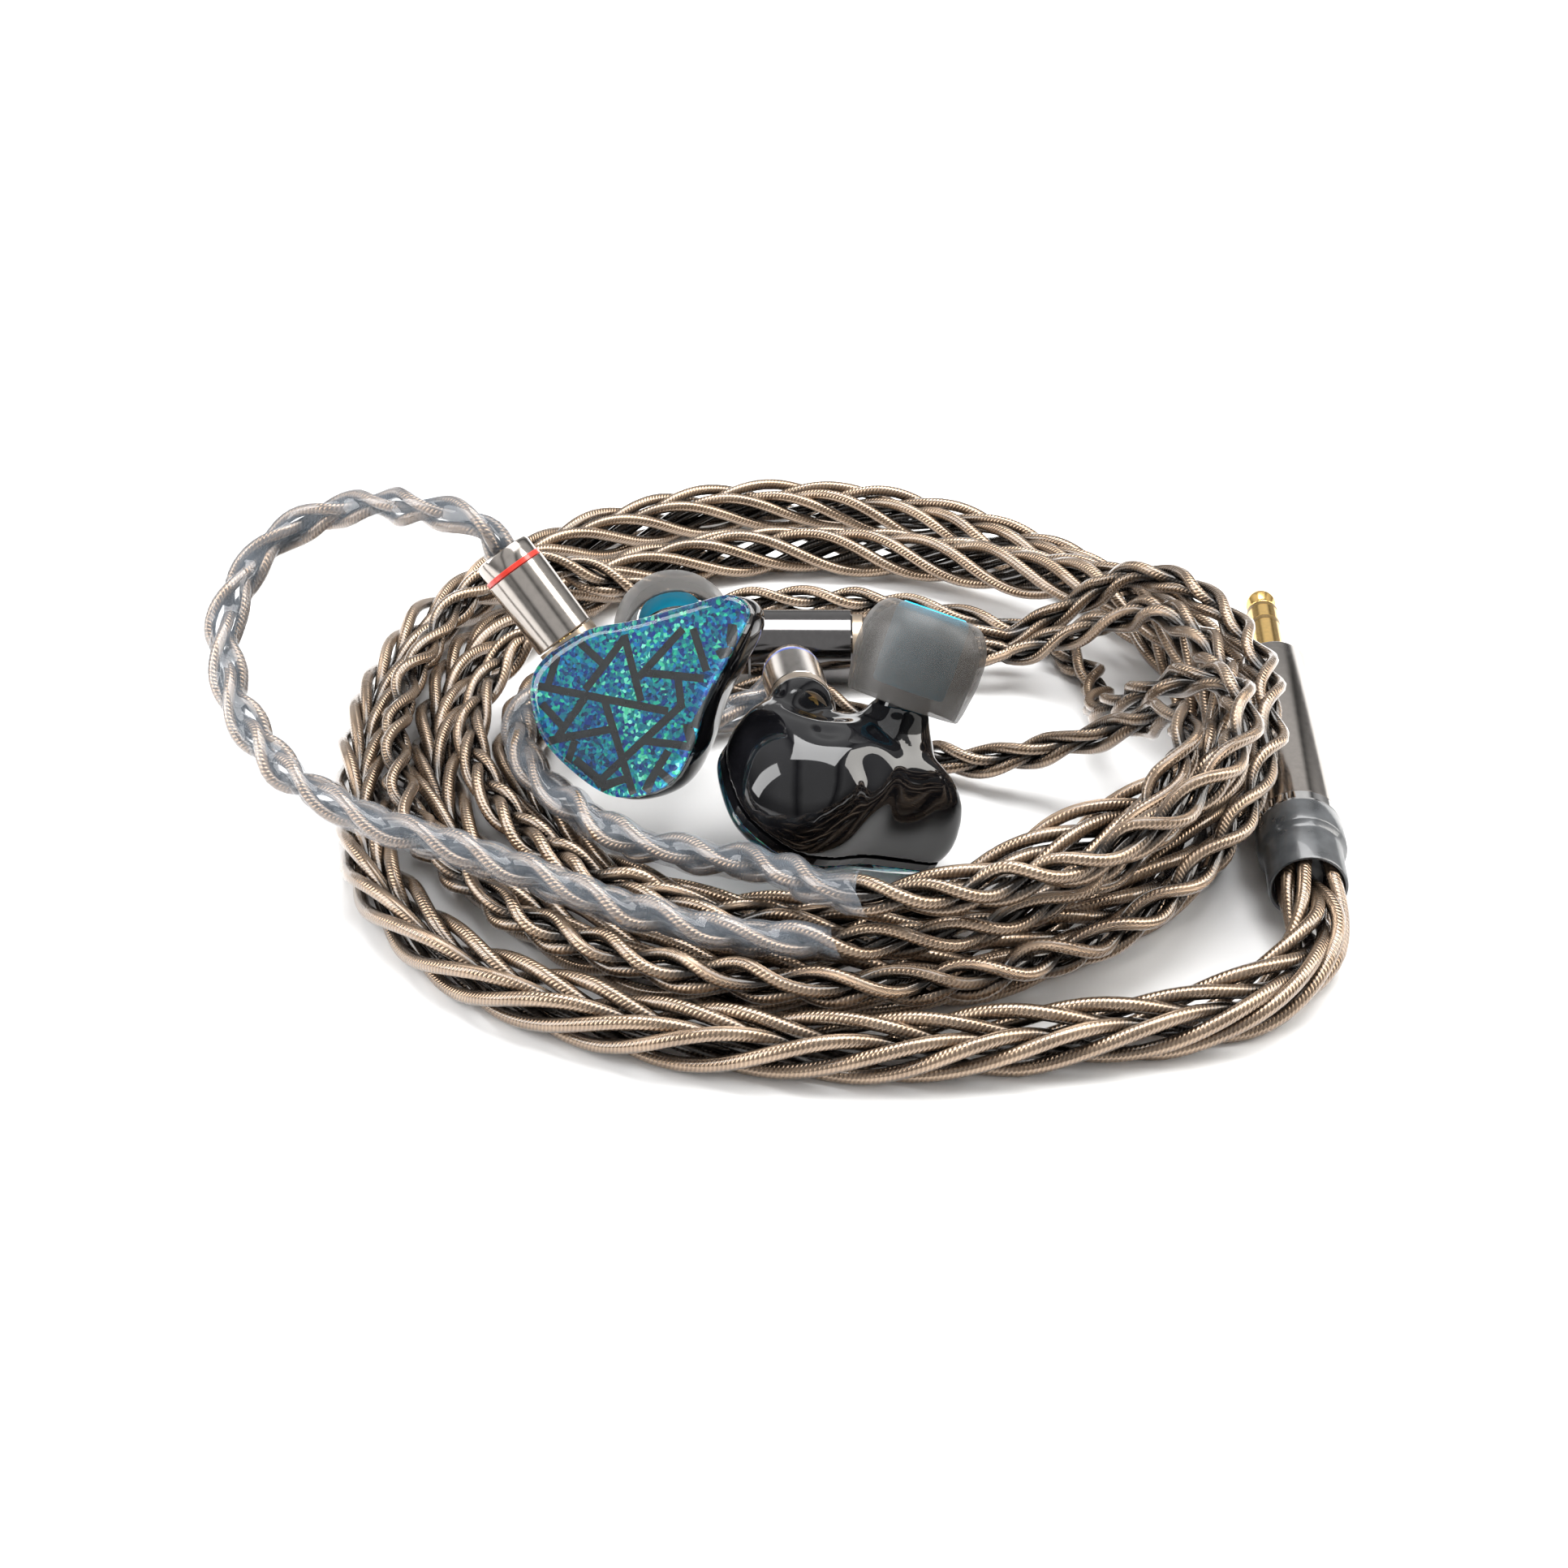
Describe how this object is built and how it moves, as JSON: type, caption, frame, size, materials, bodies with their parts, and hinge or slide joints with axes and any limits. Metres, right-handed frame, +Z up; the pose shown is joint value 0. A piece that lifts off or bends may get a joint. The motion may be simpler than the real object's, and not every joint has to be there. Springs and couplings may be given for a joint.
{
  "type": "in-ear monitors",
  "caption": "Pair of in-ear monitors with opal faceplates and silicone tips on a detachable braided two-pin cable with splitter, chin slider and stereo jack plug, lying coiled.",
  "frame": {"origin": "on the surface the set lies on, under the middle of the two earpieces with their tips", "axes": "+X to the plug's side, +Y away from the front of the coil and along the plug's shaft, +Z up"},
  "size_m": [0.1141, 0.1086, 0.0313],
  "materials": {
    "black_resin": "high-gloss black resin",
    "opal": "teal opal flakes",
    "clear_resin": "clear glossy resin",
    "steel": "satin",
    "champagne": "satin champagne anodised",
    "gold": "polished gold plate",
    "circuit_board": "matt",
    "clear_tube": "clear soft tube",
    "copper": "enamelled wire",
    "teal_silicone": "soft",
    "grey_silicone": "translucent soft grey",
    "black_plastic": "satin",
    "gunmetal": "polished gunmetal",
    "chrome": "polished",
    "smoky_boot": "glossy smoky translucent",
    "cable_sleeve": "braided bronze strands in clear jackets",
    "red_ring": "gloss",
    "blue_ring": "gloss"
  },
  "bodies": {
    "earpieces_and_cable": {"shell_right": "black_resin", "faceplate_right": "black_resin", "opal_inlay_right": "opal", "clear_dome_right": "clear_resin", "nozzle_right": "black_resin", "nozzle_filter_right": "steel", "vent_right": "steel", "socket_right": "champagne", "socket_contacts_right": "gold", "dynamic_driver_right": "steel", "armature_drivers_right": "steel", "crossover_board_right": "circuit_board", "sound_tubes_right": "clear_tube", "wiring_right": "copper", "ear_hook_right": "cable_sleeve", "thin_cable_right": "cable_sleeve", "shell_left": "black_resin", "faceplate_left": "black_resin", "opal_inlay_left": "opal", "clear_dome_left": "clear_resin", "nozzle_left": "black_resin", "nozzle_filter_left": "steel", "vent_left": "steel", "socket_left": "champagne", "socket_contacts_left": "gold", "dynamic_driver_left": "steel", "armature_drivers_left": "steel", "crossover_board_left": "circuit_board", "sound_tubes_left": "clear_tube", "wiring_left": "copper", "ear_hook_left": "cable_sleeve", "thin_cable_left": "cable_sleeve", "main_cable": "cable_sleeve", "splitter_body": "gunmetal", "splitter_collar": "champagne", "plug_barrel": "gunmetal", "plug_flange": "chrome", "plug_boot": "smoky_boot", "plug_bush": "gold", "plug_insulators": "black_plastic", "plug_tip": "gold", "plug_ring": "gold", "plug_sleeve": "gold"},
    "connector_right": {"connector_pins_right": "gold", "connector_insulator_right": "black_plastic", "connector_barrel_right": "gunmetal", "side_ring_right": "red_ring", "connector_cap_right": "gunmetal"},
    "eartip_right": {"eartip_core_right": "teal_silicone", "eartip_dome_right": "grey_silicone"},
    "connector_left": {"connector_pins_left": "gold", "connector_insulator_left": "black_plastic", "connector_barrel_left": "gunmetal", "side_ring_left": "blue_ring", "connector_cap_left": "gunmetal"},
    "eartip_left": {"eartip_core_left": "teal_silicone", "eartip_dome_left": "grey_silicone"},
    "slider": {"chin_slider": "gunmetal", "slider_pads": "black_plastic"}
  },
  "joints": [
    {"name": "unplug_right", "type": "slide", "parent": "earpieces_and_cable", "child": "connector_right", "axis": [-0.594, 0.3608, 0.719], "range_m": [0, 0.003], "deforming": ["ear_hook_right"]},
    {"name": "tip_off_right", "type": "slide", "parent": "earpieces_and_cable", "child": "eartip_right", "axis": [-0.0987, 0.9541, -0.2826], "range_m": [0, 0.0045]},
    {"name": "unplug_left", "type": "slide", "parent": "earpieces_and_cable", "child": "connector_left", "axis": [-0.0833, 0.9672, -0.2399], "range_m": [0, 0.003], "deforming": ["ear_hook_left"]},
    {"name": "tip_off_left", "type": "slide", "parent": "earpieces_and_cable", "child": "eartip_left", "axis": [0.3266, 0.4419, 0.8355], "range_m": [0, 0.0045]},
    {"name": "chin_slide", "type": "slide", "parent": "earpieces_and_cable", "child": "slider", "axis": [1, 0, 0], "range_m": [0, 0.009]}
  ]
}
